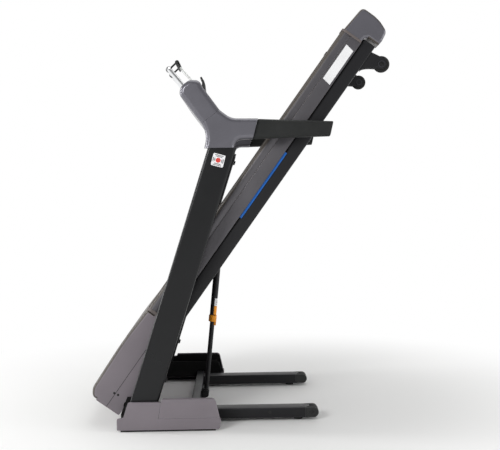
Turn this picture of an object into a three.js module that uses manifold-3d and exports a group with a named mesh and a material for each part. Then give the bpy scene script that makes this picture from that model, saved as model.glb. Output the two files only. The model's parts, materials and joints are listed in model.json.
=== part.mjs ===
// Folding motorised treadmill, stored with its deck up.
// Millimetres, +Z up, +X towards the rear of the machine (where a runner steps on),
// -Y is the runner's left. The origin is on the floor, at the middle of the machine's outline.
import * as THREE from 'three';
import { mergeVertices } from 'three/addons/utils/BufferGeometryUtils.js';
import Module from 'manifold-3d';

const wasm = await Module();
wasm.setup();

// ---------------------------------------------------------------- driving dimensions

const GAP = 0.3;
const SIDES = [['left', -1], ['right', 1]];

// Fold: the deck is drawn flat, as it runs, and then turned up about this hinge line.
const FOLD_ANGLE = THREE.MathUtils.degToRad(54.2);
const HINGE = { x: -380, z: 68, pin: 6, ear: 13 };

// Base frame
const TUBE = { low: 9, high: 45, wall: 2, corner: 4 };
const LEG = { inner: 238, outer: 298, front: -142.7, rear: 228 };
const REAR_CROSS = { front: -173, rear: -143 };
const FRONT_CROSS = { front: -372, rear: -342 };
const CHANNEL = { inner: 343.5, outer: 398.5, floor: 22, sheet: 3 };
const COVER = { inner: 399, outer: 412, bottom: 5.8, wall: 3 };
const CASTER = { x: 257, z: 27.3, r: 18.2, cheek: 17.5, axle: 4 };

// Uprights: a tube with a level cut at both ends that leans towards the rear.
const UPRIGHT = { inner: 347, outer: 395, bottom: 25.4, top: 940.5, front: -389.5, width: 95.5 };
const LEAN = 0.3245;
const SPIGOT = { margin: 14, bottom: 905, top: 1000 };

// Arms and handles
const ARM = { inner: 338, outer: 400, round: 16 };
const GRIP = { inner: 348, outer: 392, middle: 370, z: 1003, tube: 10 };

// Console: its user face starts at this upper edge and runs down towards the rear.
const CONSOLE = { x: -104, z: 1139.5, tilt: THREE.MathUtils.degToRad(54.1), halfWidth: 400, round: 16 };
const POCKET = { from: 6, to: 82, depth: 58, halfWidth: 300 };
const CLAMP = { x: -237, z: 1237, y: 100, tube: 9, length: 196, bar: 8.5 };
const CLAMP_SLOPE = new THREE.Vector2(-0.64, 0.768).normalize();
const ROLLER_PAD = { x: -208, z: 1264, r: 8, halfWidth: 76 };
const LINK = { y: 80, thick: 6, width: 6, ring: 2.5, hook: 3.5, hookAlong: 2, hookDrop: 12.7 };

// Deck, in its flat running position
const DECK = { outer: 322, hoodRear: -69, rear: 1185 };
const FRAME = { inner: 272, outer: 312, bottom: 79, top: 126, front: -396, rear: 1102 };
const RAIL = { inner: 245, top: 202, front: -68, rear: 1085.5, wall: 3 };
const BOARD = { front: -60, rear: 1090, halfWidth: 305, bottom: 170, top: 188.2 };
const BELT = { halfWidth: 240, thickness: 2 };
const ROLLER = { front: -100, rear: 1130, z: 166.7, r: 21.5, halfWidth: 247, shaft: 8 };
const DRIVE = { y: 259, width: 14, rollerPulley: 30, motorPulley: 15, motorX: -215, motorZ: 139 };
const REAR_WHEEL = { x: 1070, z: 28, r: 28, inner: 279, outer: 301, axle: 4 };
const HOOD = { front: -427, seam: 128, bottom: 75.5, wall: 3 };
const END_CAP = { front: 1086, inner: 236, outer: 324, wall: 3, round: 10 };

// Folding strut: its lower eye is on the rear cross tube, its upper eye under the deck.
const STRUT = { lowX: -125, lowZ: 40, highX: 194.4, highZ: 100.7, rod: 8.8, tube: 12.2, bore: 9.2, plug: 16 };
const STRUT_ROD_LENGTH = 307;
const STRUT_TUBE_START = 290;

// ---------------------------------------------------------------- materials

const FINISHES = {
  black_steel: { color: 0x25282a, roughness: 0.5, metalness: 0.3 },
  chrome: { color: 0xd5d7d8, roughness: 0.12, metalness: 1 },
  zinc: { color: 0xa9abab, roughness: 0.35, metalness: 1 },
  grey_shell: { color: 0x716b70, roughness: 0.55, metalness: 0 },
  metallic_shell: { color: 0x62626a, roughness: 0.35, metalness: 0.3 },
  rail_grey: { color: 0x504e52, roughness: 0.45, metalness: 0.2 },
  black_plastic: { color: 0x1b1c1c, roughness: 0.55, metalness: 0 },
  rubber: { color: 0x161616, roughness: 0.85, metalness: 0 },
  belt: { color: 0x1c1c1d, roughness: 0.9, metalness: 0 },
  board: { color: 0x6b5138, roughness: 0.7, metalness: 0 },
  orange: { color: 0xe79413, roughness: 0.45, metalness: 0 },
  red: { color: 0xb5231c, roughness: 0.4, metalness: 0 },
  green: { color: 0x2c8a45, roughness: 0.4, metalness: 0 },
  clear: { color: 0xe4e8e4, roughness: 0.1, metalness: 0 },
  display: { color: 0x0c0f12, roughness: 0.1, metalness: 0 },
};

function finish(name) {
  return new THREE.MeshStandardMaterial(FINISHES[name]);
}

// ---------------------------------------------------------------- shape helpers

// Closed outline from [a, b] or [a, b, cornerRadius] points.
function outline(corners, ShapeClass = THREE.Shape) {
  const points = corners.map(([a, b]) => new THREE.Vector2(a, b));
  const shape = new ShapeClass();
  corners.forEach(([, , radius = 0], i) => {
    const here = points[i];
    const before = points[(i + points.length - 1) % points.length];
    const after = points[(i + 1) % points.length];
    const arrive = here.clone().sub(before).setLength(radius);
    const leave = after.clone().sub(here).setLength(radius);
    const start = here.clone().sub(arrive);
    const end = here.clone().add(leave);
    if (i === 0) shape.moveTo(start.x, start.y);
    else shape.lineTo(start.x, start.y);
    if (radius > 0) shape.quadraticCurveTo(here.x, here.y, end.x, end.y);
  });
  shape.closePath();
  return shape;
}

function rectangle(a0, a1, b0, b1, radius = 0, ShapeClass = THREE.Shape) {
  return outline([[a0, b0, radius], [a1, b0, radius], [a1, b1, radius], [a0, b1, radius]], ShapeClass);
}

// Moves every edge of a counter-clockwise corner list inwards by a distance.
function inset(corners, distance) {
  const shifted = corners.map(([a, b], i) => {
    const [c, d] = corners[(i + 1) % corners.length];
    const length = Math.hypot(c - a, d - b);
    const inward = [-(d - b) / length * distance, (c - a) / length * distance];
    return { a: a + inward[0], b: b + inward[1], da: c - a, db: d - b };
  });
  return corners.map(([, , radius = 0], i) => {
    const edge = shifted[i];
    const last = shifted[(i + corners.length - 1) % corners.length];
    const cross = last.da * edge.db - last.db * edge.da;
    const t = ((edge.a - last.a) * edge.db - (edge.b - last.b) * edge.da) / cross;
    return [last.a + last.da * t, last.b + last.db * t, Math.max(radius - distance, 0)];
  });
}

function tubeSection(a0, a1, b0, b1, wall, corner) {
  const shape = rectangle(a0, a1, b0, b1, corner);
  const inner = Math.max(corner - wall, 0.5);
  shape.holes.push(rectangle(a0 + wall, a1 - wall, b0 + wall, b1 - wall, inner, THREE.Path));
  return shape;
}

function extrude(shape, depth, bevel = 0, curveSegments = 4, bevelSegments = 3) {
  const geometry = new THREE.ExtrudeGeometry(shape, {
    depth: depth - 2 * bevel,
    bevelEnabled: bevel > 0,
    bevelThickness: bevel,
    bevelSize: bevel,
    bevelOffset: -bevel,
    bevelSegments,
    curveSegments,
  });
  return geometry.translate(0, 0, bevel);
}

// A shape drawn in X and Z, made solid from one Y to another.
function slab(shape, yFrom, yTo, bevel = 0, curveSegments = 4, bevelSegments = 3) {
  const depth = Math.abs(yTo - yFrom);
  const geometry = extrude(shape, depth, bevel, curveSegments, bevelSegments);
  return geometry.rotateX(Math.PI / 2).translate(0, Math.max(yFrom, yTo), 0);
}

// The place a given distance past the second point, going straight on from the first.
function past([a0, b0], [a1, b1], distance) {
  const length = Math.hypot(a1 - a0, b1 - b0);
  return [a1 + (a1 - a0) / length * distance, b1 + (b1 - b0) / length * distance];
}

// A slab with rounded rims that stays square along its butt edge, where it meets another piece.
// Butt edges are named by the place of their first corner in the counter-clockwise list.
function roundedSlab(corners, buttEdges, yFrom, yTo, bevel, curveSegments = 6, bevelSegments = 3) {
  const count = corners.length;
  const longer = [...corners];
  for (const first of buttEdges) {
    const last = (first + 1) % count;
    longer[first] = past(corners[(first + count - 1) % count], corners[first], bevel);
    longer[last] = past(corners[(last + 1) % count], corners[last], bevel);
  }
  const blocks = buttEdges.map((first) => {
    const last = (first + 1) % count;
    const start = past(corners[last], corners[first], 3 * bevel);
    const end = past(corners[first], corners[last], 3 * bevel);
    const length = Math.hypot(end[0] - start[0], end[1] - start[1]);
    const out = [(end[1] - start[1]) / length * 3 * bevel, (start[0] - end[0]) / length * 3 * bevel];
    const farStart = [start[0] + out[0], start[1] + out[1]];
    const farEnd = [end[0] + out[0], end[1] + out[1]];
    return slab(outline([start, farStart, farEnd, end]), 2 * yFrom - yTo, 2 * yTo - yFrom);
  });
  return cut(slab(outline(longer), yFrom, yTo, bevel, curveSegments, bevelSegments), ...blocks);
}

// A shape drawn in Y and Z, made solid from one X to another.
function bar(shape, xFrom, xTo, curveSegments = 3) {
  const turn = new THREE.Matrix4().makeBasis(
    new THREE.Vector3(0, 1, 0), new THREE.Vector3(0, 0, 1), new THREE.Vector3(1, 0, 0));
  return extrude(shape, xTo - xFrom, 0, curveSegments).applyMatrix4(turn).translate(xFrom, 0, 0);
}

function box(x0, x1, y0, y1, z0, z1) {
  const geometry = new THREE.BoxGeometry(x1 - x0, Math.abs(y1 - y0), z1 - z0);
  return geometry.translate((x0 + x1) / 2, (y0 + y1) / 2, (z0 + z1) / 2);
}

// A round bar along Y.
function rod(radius, y0, y1, x, z, segments = 28) {
  const geometry = new THREE.CylinderGeometry(radius, radius, Math.abs(y1 - y0), segments);
  return geometry.translate(x, (y0 + y1) / 2, z);
}

// A round bar along Z.
function post(radius, z0, z1, x, y, segments = 24) {
  const geometry = new THREE.CylinderGeometry(radius, radius, z1 - z0, segments);
  return geometry.rotateX(Math.PI / 2).translate(x, y, (z0 + z1) / 2);
}

// A body of revolution along Y: [radius, y] points from one end of the axis to the other.
function turned(profile, x, z, segments = 28) {
  const points = profile.map(([radius, y]) => new THREE.Vector2(radius, y));
  return new THREE.LatheGeometry(points, segments).translate(x, 0, z);
}

// ---------------------------------------------------------------- booleans

function toSolid(geometry) {
  const bare = geometry.clone();
  bare.deleteAttribute('normal');
  bare.deleteAttribute('uv');
  const merged = mergeVertices(bare, 1e-4);
  return new wasm.Manifold(new wasm.Mesh({
    numProp: 3,
    vertProperties: merged.attributes.position.array,
    triVerts: new Uint32Array(merged.index.array),
  }));
}

function toGeometry(solid) {
  const mesh = solid.getMesh();
  const geometry = new THREE.BufferGeometry();
  geometry.setAttribute('position', new THREE.BufferAttribute(mesh.vertProperties, 3));
  geometry.setIndex(new THREE.BufferAttribute(mesh.triVerts, 1));
  geometry.computeVertexNormals();
  return geometry;
}

function cut(geometry, ...tools) {
  return toGeometry(tools.reduce((solid, tool) => solid.subtract(toSolid(tool)), toSolid(geometry)));
}

function join(geometry, ...others) {
  return toGeometry(others.reduce((solid, other) => solid.add(toSolid(other)), toSolid(geometry)));
}

function intersect(geometry, other) {
  return toGeometry(toSolid(geometry).intersect(toSolid(other)));
}

// ---------------------------------------------------------------- assembly groups

const treadmill = new THREE.Group();

const deck = new THREE.Group();
deck.position.set(HINGE.x, 0, HINGE.z);
deck.rotation.y = -FOLD_ANGLE;
treadmill.add(deck);

const consoleFace = new THREE.Group();
consoleFace.position.set(CONSOLE.x, 0, CONSOLE.z);
consoleFace.rotation.y = CONSOLE.tilt;
treadmill.add(consoleFace);

function add(group, name, finishName, geometry) {
  const mesh = new THREE.Mesh(geometry, finish(finishName));
  mesh.name = name;
  group.add(mesh);
  return mesh;
}

function addToDeck(name, finishName, geometry) {
  return add(deck, name, finishName, geometry.translate(-HINGE.x, 0, -HINGE.z));
}

// ---------------------------------------------------------------- base frame

function crossTube(front, rear) {
  const half = CHANNEL.inner - GAP;
  const section = tubeSection(front, rear, TUBE.low, TUBE.high, TUBE.wall, TUBE.corner);
  return slab(section, -half, half, 0, 3);
}

function legTube(side) {
  const y0 = Math.min(side * LEG.inner, side * LEG.outer);
  const y1 = Math.max(side * LEG.inner, side * LEG.outer);
  const tube = bar(tubeSection(y0, y1, TUBE.low, TUBE.high, TUBE.wall, TUBE.corner), LEG.front, LEG.rear);
  return cut(tube, rod(3, y0 - 5, y1 + 5, 105, 30, 12));
}

function legEnd(side) {
  const from = LEG.rear + 0.4;
  const cheek = new THREE.Shape();
  cheek.moveTo(from, TUBE.low + 0.6);
  cheek.lineTo(CASTER.x, CASTER.z - CASTER.cheek);
  cheek.absarc(CASTER.x, CASTER.z, CASTER.cheek, -Math.PI / 2, Math.PI / 2);
  cheek.lineTo(from, TUBE.high - 0.4);
  cheek.closePath();
  const whole = slab(cheek, side * (LEG.inner + 0.5), side * (LEG.outer - 0.5), 0, 10);
  const wheelRoom = box(CASTER.x - 21, CASTER.x + 30, side * 246, side * 290, 0, 60);
  const slot = box(from + 3, from + 6, side * 258, side * 278, 36, 60);
  const end = cut(whole, wheelRoom, slot);
  return join(end, axle(side, CASTER.axle, LEG.inner + 1, LEG.outer - 0.5, CASTER.x, CASTER.z));
}

function caster(side) {
  const wheel = turned([
    [CASTER.axle + GAP, 247.5], [CASTER.r - 2.5, 247.5], [CASTER.r, 250], [CASTER.r, 286],
    [CASTER.r - 2.5, 288.5], [CASTER.axle + GAP, 288.5], [CASTER.axle + GAP, 247.5]], CASTER.x, CASTER.z);
  return side > 0 ? wheel : wheel.rotateZ(Math.PI).translate(2 * CASTER.x, 0, 0);
}

function axle(side, radius, inner, outer, x, z) {
  const pin = rod(radius, side * inner, side * outer, x, z, 20);
  const head = rod(radius * 1.9, side * (outer - 1), side * (outer + 2.5), x, z, 6);
  return join(pin, head);
}

function sideChannel(side) {
  const { inner, outer, floor, sheet } = CHANNEL;
  const outerWall = outline([
    [-402, floor], [-68, floor], [-80, 98, 4], [-87, 104], [-256, 104], [-263, 95], [-367, 95], [-385, 46],
    [-402, 41]]);
  const innerWall = outline([
    [-403, floor], [-68, floor], [-82, 80, 6], [-364, 88, 6], [-364, 104], [-380, 104], [-403, 44]]);
  const channel = join(
    slab(outerWall, side * (outer - sheet), side * outer),
    slab(innerWall, side * inner, side * (inner + sheet)),
    box(-400, -68, side * inner, side * outer, floor, floor + sheet));
  const tab = box(-112, -90, side * (outer - 30), side * (outer - sheet + 0.5), 78, 81);
  const ear = rod(HINGE.ear, side * 313, side * (inner + 1), HINGE.x, HINGE.z, 24);
  const pin = rod(HINGE.pin, side * 298.5, side * 314, HINGE.x, HINGE.z, 24);
  return join(channel, tab, ear, pin);
}

// Foot cover: a lower shell that runs the whole length, and a lid behind the upright.
const SEAM_HEIGHT = 43.6;
const LOWER_COVER = [
  [-409, COVER.bottom, 4], [-66, COVER.bottom, 8], [-61, 32, 8], [-66, SEAM_HEIGHT - GAP], [-271, SEAM_HEIGHT - GAP],
  [-262, 98], [-371, 98, 4], [-388, 46, 4], [-409, 43, 3]];
const COVER_LID = [
  [-270, SEAM_HEIGHT], [-66.5, SEAM_HEIGHT], [-81, 109, 14], [-256, 109, 3], [-261.2, 98]];

// The outline sets the ends and the section sets the rounded outer top edge.
function coverShell(corners, side, top, round) {
  const section = [
    [COVER.inner, 0], [COVER.outer, 0], [COVER.outer, top, round], [COVER.inner, top]];
  const mirrored = section.map(([y, z, radius = 0]) => [side * y, z, radius]);
  const strip = bar(outline(side < 0 ? mirrored.reverse() : mirrored), -450, 0, 5);
  const plate = slab(outline(corners), side * (COVER.inner - 2), side * (COVER.outer + 2));
  const pocket = slab(outline(inset(corners, COVER.wall)),
    side * (COVER.inner - 5), side * (COVER.outer - COVER.wall - round / 3));
  return cut(intersect(plate, strip), pocket);
}

// A rubber strip under the cover, widened to a round pad under the front of the channel.
function footPad(side) {
  const strip = box(-397, -80, side * 384, side * 409, 0, 5.5);
  return join(strip, post(18, 0, CHANNEL.floor - GAP, -350, side * 371));
}

function addBase() {
  add(treadmill, 'front_cross_tube', 'black_steel', crossTube(FRONT_CROSS.front, FRONT_CROSS.rear));
  add(treadmill, 'rear_cross_tube', 'black_steel',
    join(crossTube(REAR_CROSS.front, REAR_CROSS.rear), strutFoot()));
  for (const [label, side] of SIDES) {
    add(treadmill, `leg_tube_${label}`, 'black_steel', legTube(side));
    add(treadmill, `leg_end_${label}`, 'black_plastic', legEnd(side));
    add(treadmill, `leg_foot_${label}`, 'rubber', post(15, 0, TUBE.low - GAP, 205, side * 268));
    add(treadmill, `transport_wheel_${label}`, 'rubber', caster(side));
    add(treadmill, `side_channel_${label}`, 'black_steel', sideChannel(side));
    add(treadmill, `foot_pad_${label}`, 'rubber', footPad(side));
    add(treadmill, `foot_cover_${label}`, 'grey_shell', coverShell(LOWER_COVER, side, 98, 3));
    add(treadmill, `foot_cover_lid_${label}`, 'grey_shell', coverShell(COVER_LID, side, 109, 11));
  }
}

// ---------------------------------------------------------------- uprights

// A tube of level section that leans: every level cut has the same size.
function leaning(section, bottom, top, curveSegments = 4) {
  const shear = new THREE.Matrix4().makeShear(0, 0, 0, 0, 0, 0);
  shear.elements[8] = LEAN;
  return extrude(section, top - bottom, 0, curveSegments).translate(0, 0, bottom).applyMatrix4(shear);
}

function uprightSection(side, margin, corner, ShapeClass = THREE.Shape) {
  const front = UPRIGHT.front - LEAN * UPRIGHT.bottom;
  const y = side * (UPRIGHT.inner + UPRIGHT.outer) / 2;
  const half = (UPRIGHT.outer - UPRIGHT.inner) / 2 - Math.min(margin, 5);
  return rectangle(front + margin, front + UPRIGHT.width - margin, y - half, y + half, corner, ShapeClass);
}

function spigot(side, room = 0) {
  const section = uprightSection(side, SPIGOT.margin - room, 5);
  return leaning(section, SPIGOT.bottom, SPIGOT.top + room);
}

// The hollow post, its neck inside the arm shell, and the handrail tube welded to the neck.
function upright(side) {
  const section = uprightSection(side, 0, 10);
  section.holes.push(uprightSection(side, 2.5, 7.5, THREE.Path));
  const hollow = leaning(section, UPRIGHT.bottom, UPRIGHT.top);
  const plug = leaning(uprightSection(side, 2, 8), UPRIGHT.top - 40, UPRIGHT.top - 2);
  return join(hollow, plug, spigot(side), handrailTube(side));
}

// ---------------------------------------------------------------- arms and handles

const ARM_OUTLINE = [
  [-104, 941], [-3, 941], [-1, 968, 26], [57, 968], [75.5, 1037], [-14, 1038, 22], [-51, 1066.5],
  [-111, 1021], [-93, 982, 30]];
const ARM_JOINTS = [0, 3, 6];
const GRIP_CORNERS = { frontLow: [57.7, 969], frontHigh: [75.5, 1035.5], rearLow: [314.5, 975], rearHigh: [326, 1025] };

function arm(side) {
  const shell = roundedSlab(ARM_OUTLINE, ARM_JOINTS, side * ARM.inner, side * ARM.outer, ARM.round);
  const railBore = bar(circle(side * GRIP.middle, GRIP.z, GRIP.tube + GAP), -42, 100, 6);
  return cut(shell, spigot(side, 0.4), railBore);
}

function circle(a, b, radius) {
  const shape = new THREE.Shape();
  shape.absarc(a, b, radius, 0, 2 * Math.PI);
  return shape;
}

function handrailTube(side) {
  return bar(circle(side * GRIP.middle, GRIP.z, GRIP.tube), -40, 300, 6);
}

// A rounded bar whose four long edges run between the given corners.
function grip(side) {
  const height = 60;
  const y0 = Math.min(side * GRIP.inner, side * GRIP.outer);
  const y1 = Math.max(side * GRIP.inner, side * GRIP.outer);
  const body = bar(rectangle(y0, y1, 0, height, 16), 0, 1, 4);
  const position = body.attributes.position;
  const { frontLow, frontHigh, rearLow, rearHigh } = GRIP_CORNERS;
  for (let i = 0; i < position.count; i += 1) {
    const along = position.getX(i);
    const up = position.getZ(i) / height;
    const low = [0, 1].map((k) => THREE.MathUtils.lerp(frontLow[k], rearLow[k], along));
    const high = [0, 1].map((k) => THREE.MathUtils.lerp(frontHigh[k], rearHigh[k], along));
    position.setX(i, THREE.MathUtils.lerp(low[0], high[0], up));
    position.setZ(i, THREE.MathUtils.lerp(low[1], high[1], up));
  }
  return cut(body, bar(circle(side * GRIP.middle, GRIP.z, GRIP.tube + GAP), 20, 302, 6));
}

function addUprightsAndArms() {
  for (const [label, side] of SIDES) {
    add(treadmill, `upright_${label}`, 'black_steel', upright(side));
    add(treadmill, `arm_shell_${label}`, 'metallic_shell', arm(side));
    add(treadmill, `handle_grip_${label}`, 'rubber', grip(side));
  }
}

// ---------------------------------------------------------------- console

const CONSOLE_OUTLINE = [
  [-111.3, 1021.4], [-51.3, 1066.9], [-104, 1139.5], [-117, 1165, 13], [-150, 1166, 10], [-178, 1146, 12],
  [-184, 1118, 12]];
const CONSOLE_JOINTS = [0];

// Place on the console in its own directions: down the user face, and out of it.
function onFace(along, outward) {
  const c = Math.cos(CONSOLE.tilt);
  const s = Math.sin(CONSOLE.tilt);
  return [CONSOLE.x + along * c + outward * s, CONSOLE.z - along * s + outward * c];
}

// A round bar along the clamp's sliding direction, ending at the cross bar.
function clampTube(y, radius, length, beyond = 0) {
  const geometry = new THREE.CylinderGeometry(radius, radius, length + beyond, 24);
  geometry.rotateX(Math.PI / 2).translate(0, 0, (beyond - length) / 2);
  geometry.rotateY(Math.atan2(CLAMP_SLOPE.x, CLAMP_SLOPE.y));
  return geometry.translate(CLAMP.x, y, CLAMP.z);
}

function consoleHousing() {
  const half = CONSOLE.halfWidth;
  const shell = roundedSlab(CONSOLE_OUTLINE, CONSOLE_JOINTS, -half, half, CONSOLE.round, 5);
  const pocket = slab(outline([
    onFace(POCKET.from, 10), onFace(POCKET.from, -POCKET.depth),
    onFace(POCKET.to, -POCKET.depth + 14), onFace(POCKET.to, 10)]), -POCKET.halfWidth, POCKET.halfWidth);
  const bores = SIDES.map(([, side]) => clampTube(side * CLAMP.y, CLAMP.tube + 0.4, CLAMP.length + 8));
  return cut(shell, pocket, ...bores);
}

// Buttons: place down the face, place across it, radius, finish.
const BUTTONS = {
  start_button: [62, -120, 12, 'green'],
  stop_button: [62, 120, 12, 'red'],
};

const ROCKER = { x: 40, y: 160, length: 46, width: 16, pivotZ: -4 };

function facePanel() {
  const x0 = POCKET.from + GAP;
  const x1 = POCKET.to - GAP;
  const half = POCKET.halfWidth - GAP;
  const plate = box(x0, x1, -half, half, -6, -1);
  const holes = Object.values(BUTTONS).map(([x, y, r]) => post(r + 0.5, -20, 20, x, y));
  const { x, y, length, width } = ROCKER;
  const rockerHole = box(
    x - width / 2 - 1, x + width / 2 + 1, y - length / 2 - 1, y + length / 2 + 1, -20, 20);
  return cut(plate, ...holes, rockerHole, post(10.5, -20, 20, 66, 0));
}

function button(x, y, radius) {
  const head = post(radius, -8, 2.5, x, y);
  return join(head, post(radius + 2, -10.5, -7.9, x, y));
}

// The rocker tilts about its own middle: one end for faster, the other for slower.
function speedRocker() {
  const { x, y, length, width, pivotZ } = ROCKER;
  const half = length / 2;
  const cap = outline([
    [y - half, pivotZ], [y + half, pivotZ], [y + half, 2.5, 2], [y, 0.8], [y - half, 2.5, 2]]);
  return bar(cap, x - width / 2, x + width / 2);
}

function safetyKey() {
  return join(post(10, -5.5, 0.1, 66, 0), post(15, 0, 6, 66, 0));
}

function clampFrame() {
  const half = CLAMP.y + 6;
  const crossBar = rod(CLAMP.bar, -half, half, CLAMP.x, CLAMP.z, 24);
  return join(crossBar, ...SIDES.map(([, side]) => clampTube(side * CLAMP.y, CLAMP.tube, CLAMP.length)));
}

// A flat link from a ring on the cross bar to the spindle of the pad roller.
function clampArm(side) {
  const y0 = side * LINK.y - LINK.thick / 2;
  const y1 = side * LINK.y + LINK.thick / 2;
  const start = new THREE.Vector2(CLAMP.x, CLAMP.z);
  const end = new THREE.Vector2(ROLLER_PAD.x, ROLLER_PAD.z);
  const half = end.clone().sub(start).setLength(LINK.width / 2);
  const link = outline([
    [start.x + half.y, start.y - half.x], [end.x + half.y, end.y - half.x],
    [end.x - half.y, end.y + half.x], [start.x - half.y, start.y + half.x]]);
  const ring = rod(CLAMP.bar + LINK.ring, y0 - 2, y1 + 2, CLAMP.x, CLAMP.z, 24);
  const stay = box(end.x - 1, end.x + 1 + LINK.hookAlong, y0, y1, end.y - LINK.hookDrop, end.y);
  return join(ring, slab(link, y0, y1), stay, rod(LINK.width / 2, y0, y1, end.x, end.y, 16));
}

function clampYoke() {
  const reach = LINK.y + LINK.thick / 2;
  const spindle = rod(3, -LINK.y, LINK.y, ROLLER_PAD.x, ROLLER_PAD.z, 16);
  const hook = rod(
    LINK.hook, -reach, reach, ROLLER_PAD.x + LINK.hookAlong, ROLLER_PAD.z - LINK.hookDrop, 16);
  const yoke = join(clampArm(-1), clampArm(1), spindle, hook);
  return cut(yoke, rod(CLAMP.bar + GAP, -120, 120, CLAMP.x, CLAMP.z, 24));
}

function rollerPad() {
  const half = ROLLER_PAD.halfWidth;
  return turned([
    [3 + GAP, -half], [ROLLER_PAD.r - 2, -half], [ROLLER_PAD.r, 2 - half], [ROLLER_PAD.r, half - 2],
    [ROLLER_PAD.r - 2, half], [3 + GAP, half], [3 + GAP, -half]], ROLLER_PAD.x, ROLLER_PAD.z, 24);
}

function tabletLedge() {
  const section = outline([
    [-121, 1166.5], [-107, 1166.5], [-110, 1196, 4], [-121, 1214, 3], [-126, 1209, 1], [-118.5, 1195]]);
  return slab(section, -60, 60, 0, 3);
}

function tabletBackrest() {
  const section = outline([[-129, 1166.6], [-123.6, 1166.6], [-194.5, 1248], [-198.5, 1245]]);
  return slab(section, -70, 70);
}

function addConsole() {
  add(treadmill, 'console_housing', 'metallic_shell', consoleHousing());
  add(consoleFace, 'console_face', 'black_plastic', facePanel());
  add(consoleFace, 'display_window', 'display', box(12, 46, -100, 100, -0.7, 1.2));
  for (const [name, [x, y, radius, finishName]] of Object.entries(BUTTONS)) {
    add(consoleFace, name, finishName, button(x, y, radius));
  }
  add(consoleFace, 'speed_rocker', 'black_plastic', speedRocker());
  add(consoleFace, 'safety_key', 'red', safetyKey());
  add(treadmill, 'tablet_ledge', 'black_plastic', tabletLedge());
  add(treadmill, 'tablet_backrest', 'clear', tabletBackrest());
  add(treadmill, 'tablet_clamp_frame', 'chrome', clampFrame());
  add(treadmill, 'tablet_clamp_yoke', 'black_plastic', clampYoke());
  add(treadmill, 'tablet_clamp_roller', 'rubber', rollerPad());
}

// ---------------------------------------------------------------- deck frame

function frameTube(side) {
  const y0 = Math.min(side * FRAME.inner, side * FRAME.outer);
  const y1 = Math.max(side * FRAME.inner, side * FRAME.outer);
  return bar(tubeSection(y0, y1, FRAME.bottom, FRAME.top, 2.5, 6), FRAME.front, FRAME.rear);
}

// The side tube with everything welded to it: hinge lug, wheel fork and roller brackets.
function deckSide(side) {
  return join(
    frameTube(side), hingeLug(side), wheelFork(side),
    rollerBracket(side, ROLLER.front, -126, -74), rollerBracket(side, ROLLER.rear, 1070, 1099));
}

function deckCross(x0, x1, low) {
  const section = tubeSection(x0, x1, low, FRAME.top - 1, 2, 3);
  return slab(section, -FRAME.inner + GAP, FRAME.inner - GAP, 0, 2);
}

function hingeLug(side) {
  const plate = outline([
    [-395, FRAME.bottom + 1], [-395, HINGE.z - 15, 13], [-362, HINGE.z - 15, 13], [-345, FRAME.bottom + 1]]);
  const lug = slab(plate, side * 298, side * 311.5);
  return cut(lug, rod(HINGE.pin + GAP, side * 290, side * 320, HINGE.x, HINGE.z, 24));
}

// Two lugs either side of the strut's upper eye, on a plate against the cross member.
function strutLugs() {
  const { highX, highZ } = STRUT;
  const lug = outline([
    [141, 107], [highX - 12, highZ - 12, 8], [highX + 12, highZ - 12, 10], [highX + 15, highZ + 11, 8],
    [highX - 15, 122], [141, 122]]);
  return join(
    slab(lug, -21, -16), slab(lug, 16, 21), box(141, 147, -21, 21, 108, 122));
}

function sideRail(side) {
  const { inner, top, wall } = RAIL;
  const outer = DECK.outer;
  const low = FRAME.top + 0.5;
  const corners = [
    [outer, low], [outer, 168], [outer - 1.3, 169], [outer - 1.3, 171], [outer, 172], [outer, top, 15],
    [inner, top, 4], [inner, BOARD.top + 0.8], [inner + wall, BOARD.top + 0.8], [inner + wall, top - wall, 2],
    [outer - wall, top - wall, 12], [outer - wall, low]];
  const mirrored = corners.map(([y, z, radius = 0]) => [side * y, z, radius]);
  return bar(outline(side < 0 ? mirrored.reverse() : mirrored), RAIL.front, RAIL.rear, 5);
}

// ---------------------------------------------------------------- belt, rollers and drive

// Loop round two parallel rollers, as an outline in X and Z.
function loop(xa, za, ra, xb, zb, rb, ShapeClass = THREE.Shape) {
  const angle = Math.atan2(zb - za, xb - xa);
  const spread = Math.acos((ra - rb) / Math.hypot(xb - xa, zb - za));
  const shape = new ShapeClass();
  shape.absarc(xa, za, ra, angle + spread, angle - spread + 2 * Math.PI);
  shape.absarc(xb, zb, rb, angle - spread, angle + spread);
  shape.closePath();
  return shape;
}

function runningBelt() {
  const { front, rear, z, r } = ROLLER;
  const inside = r + GAP;
  const shape = loop(front, z, inside + BELT.thickness, rear, z, inside + BELT.thickness);
  shape.holes.push(loop(front, z, inside, rear, z, inside, THREE.Path));
  return slab(shape, -BELT.halfWidth, BELT.halfWidth, 0, 14);
}

function driveBelt() {
  const a = [ROLLER.front, ROLLER.z];
  const b = [DRIVE.motorX, DRIVE.motorZ];
  const ra = DRIVE.rollerPulley + GAP;
  const rb = DRIVE.motorPulley + GAP;
  const shape = loop(...b, rb + 2, ...a, ra + 2);
  shape.holes.push(loop(...b, rb, ...a, ra, THREE.Path));
  return slab(shape, DRIVE.y - DRIVE.width / 2, DRIVE.y + DRIVE.width / 2, 0, 12);
}

function runningRoller(x, pulley) {
  const { r, halfWidth, shaft, z } = ROLLER;
  const end = 289;
  const profile = [[0, -end], [shaft, -end], [shaft, -halfWidth], [r, -halfWidth], [r, halfWidth]];
  if (pulley) {
    const a = DRIVE.y - DRIVE.width / 2 - 1;
    const b = DRIVE.y + DRIVE.width / 2 + 1;
    profile.push([shaft + 4, halfWidth], [shaft + 4, a], [DRIVE.rollerPulley, a], [DRIVE.rollerPulley, b]);
    profile.push([shaft, b]);
  } else {
    profile.push([shaft, halfWidth]);
  }
  profile.push([shaft, end], [0, end]);
  return turned(profile, x, z, 32);
}

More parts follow.
